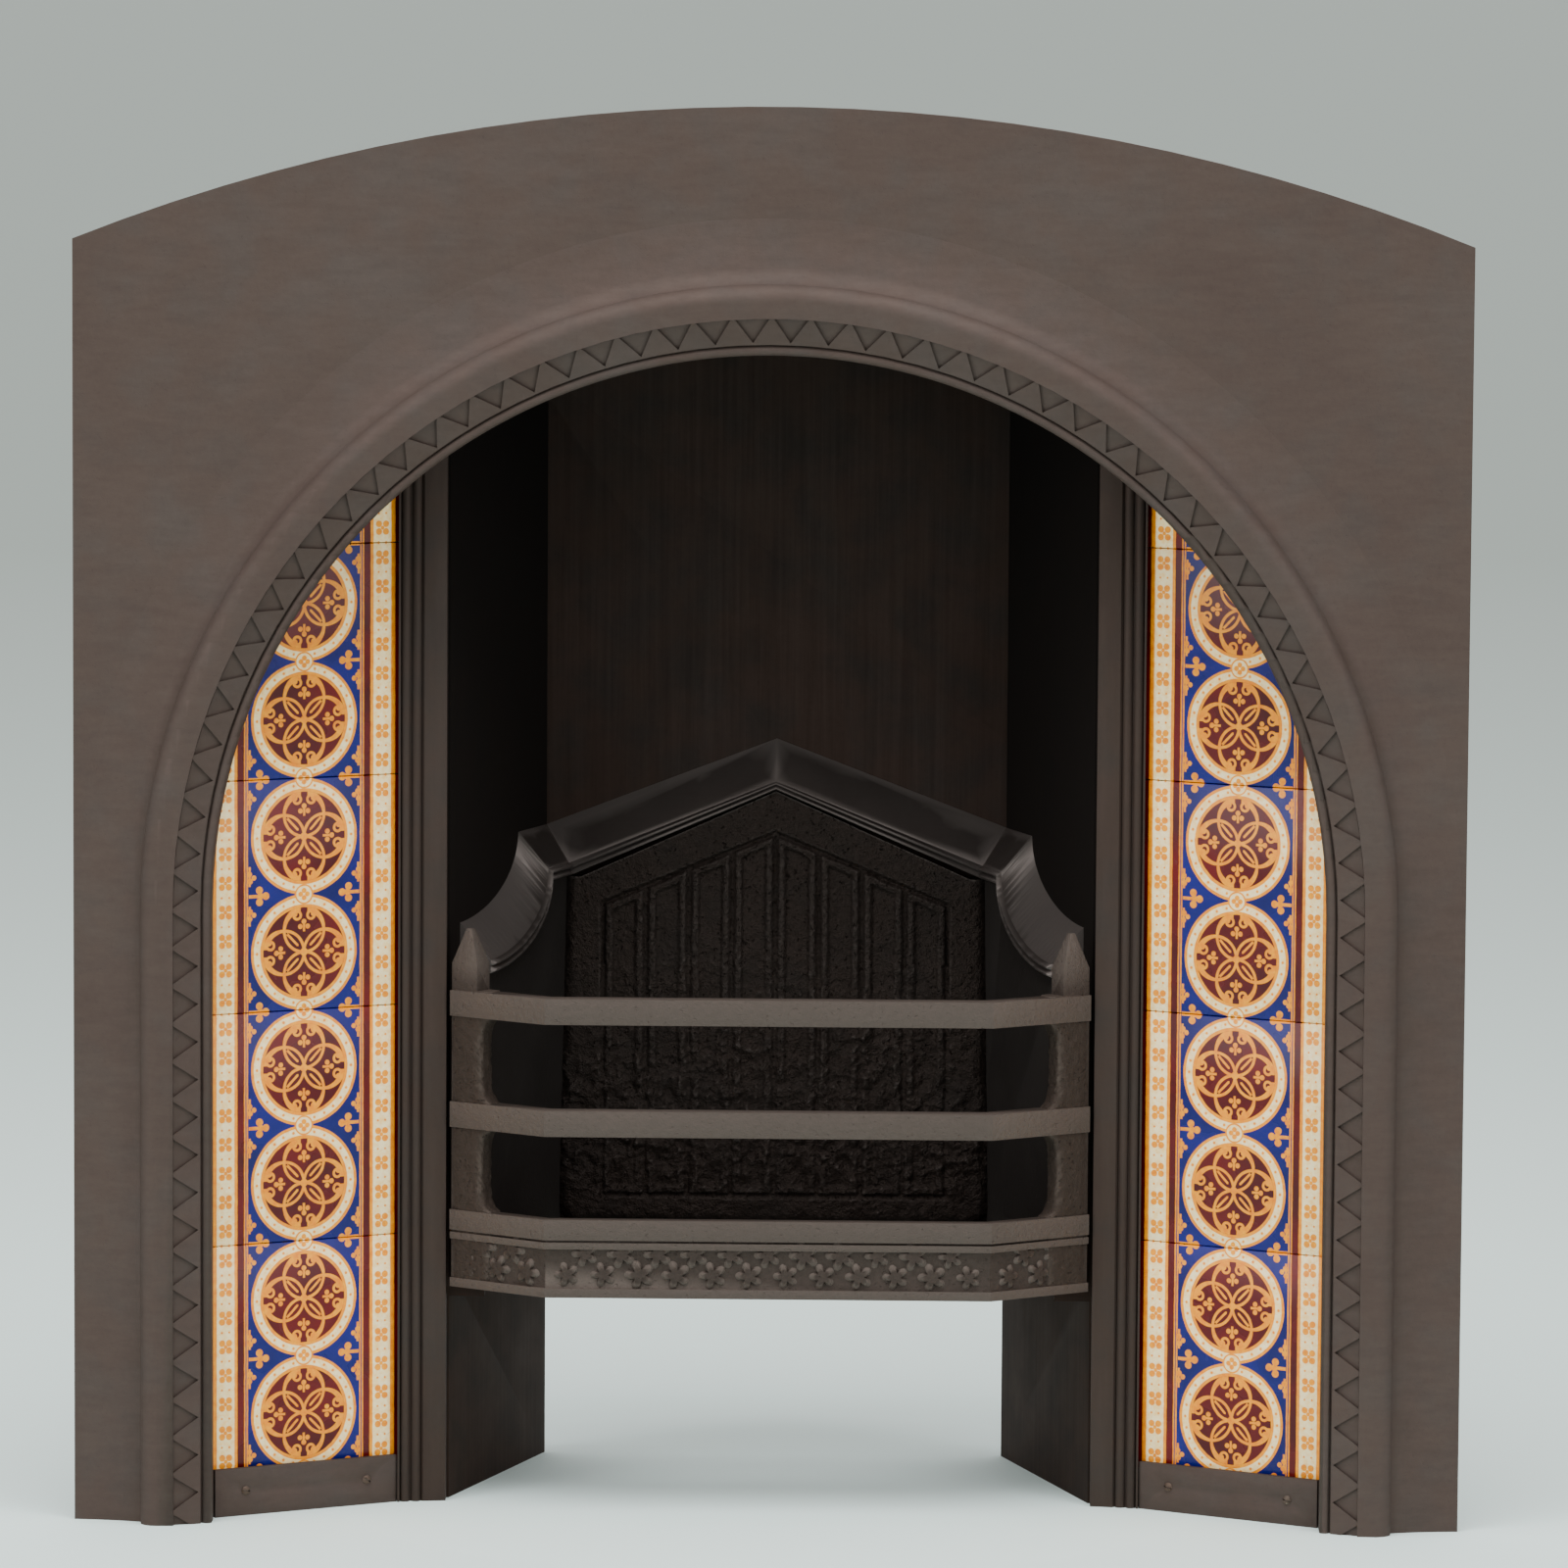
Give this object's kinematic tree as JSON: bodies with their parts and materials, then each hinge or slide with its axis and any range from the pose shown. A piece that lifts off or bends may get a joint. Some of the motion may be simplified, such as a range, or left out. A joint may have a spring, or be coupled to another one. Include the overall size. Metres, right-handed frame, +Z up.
{
  "type": "arched tiled cast-iron fireplace insert",
  "caption": "Arched register grate for a fireplace: moulded cast-iron plate, splayed tile panels, lift-off front bars, loose bottom grate and a hinged flue damper.",
  "frame": {"origin": "centre of the footprint on the hearth, at the bottom middle of the bounding box", "axes": "+Z up, front towards -Y, +X to the viewer's right"},
  "size_m": [0.905, 0.2987, 0.9254],
  "materials": {
    "plate_iron": "blackleaded, hand-burnished, warm grey-brown with a soft sheen",
    "chamber_iron": "matt, darkened by smoke",
    "fireback_iron": "pitted and burnt, rust showing at the foot",
    "burnt_iron": "heat-scaled, rough",
    "bar_iron": "rubbed, slightly brighter on its raised edges",
    "back_iron": "rough as cast, oiled, light surface rust",
    "glazed_tile": "transfer-printed and painted under a clear gloss glaze",
    "screw_steel": "slotted heads, darkened",
    "bolt_steel": "blackened, slightly rusted"
  },
  "bodies": {
    "casing": {"back_panel": "chamber_iron", "clip_screws": "screw_steel", "damper_pin": "bolt_steel", "fireback": "fireback_iron", "frame_bolts": "bolt_steel", "front_plate": "plate_iron", "gable_cornice": "chamber_iron", "left_cheek": "chamber_iron", "left_fixing_lug": "back_iron", "left_lining": "chamber_iron", "left_stile": "plate_iron", "left_tile_1": "glazed_tile", "left_tile_2": "glazed_tile", "left_tile_3": "glazed_tile", "left_tile_4": "glazed_tile", "left_tile_5": "glazed_tile", "left_tile_clip": "plate_iron", "left_tile_frame": "back_iron", "left_wing": "chamber_iron", "lug_bolts": "bolt_steel", "panel_bolts": "bolt_steel", "panel_nuts": "bolt_steel", "register_bolts": "bolt_steel", "register_plate": "back_iron", "right_cheek": "chamber_iron", "right_fixing_lug": "back_iron", "right_lining": "chamber_iron", "right_stile": "plate_iron", "right_tile_1": "glazed_tile", "right_tile_2": "glazed_tile", "right_tile_3": "glazed_tile", "right_tile_4": "glazed_tile", "right_tile_5": "glazed_tile", "right_tile_clip": "plate_iron", "right_tile_frame": "back_iron", "right_wing": "chamber_iron", "stile_bolts": "bolt_steel"},
    "bars": {"front_bars": "bar_iron"},
    "grate": {"bottom_grate": "burnt_iron"},
    "damper": {"damper_flap": "back_iron"}
  },
  "joints": [
    {"name": "bars_lift", "type": "slide", "parent": "casing", "child": "bars", "axis": [0, 0, 1], "range_m": [0, 0.3]},
    {"name": "grate_lift", "type": "slide", "parent": "casing", "child": "grate", "axis": [0, 0, 1], "range_m": [0, 0.25]},
    {"name": "damper_swing", "type": "hinge", "parent": "casing", "child": "damper", "pos_m": [0, 0.12275, 0.846], "axis": [-1, 0, 0], "range_deg": [0, 80]}
  ]
}
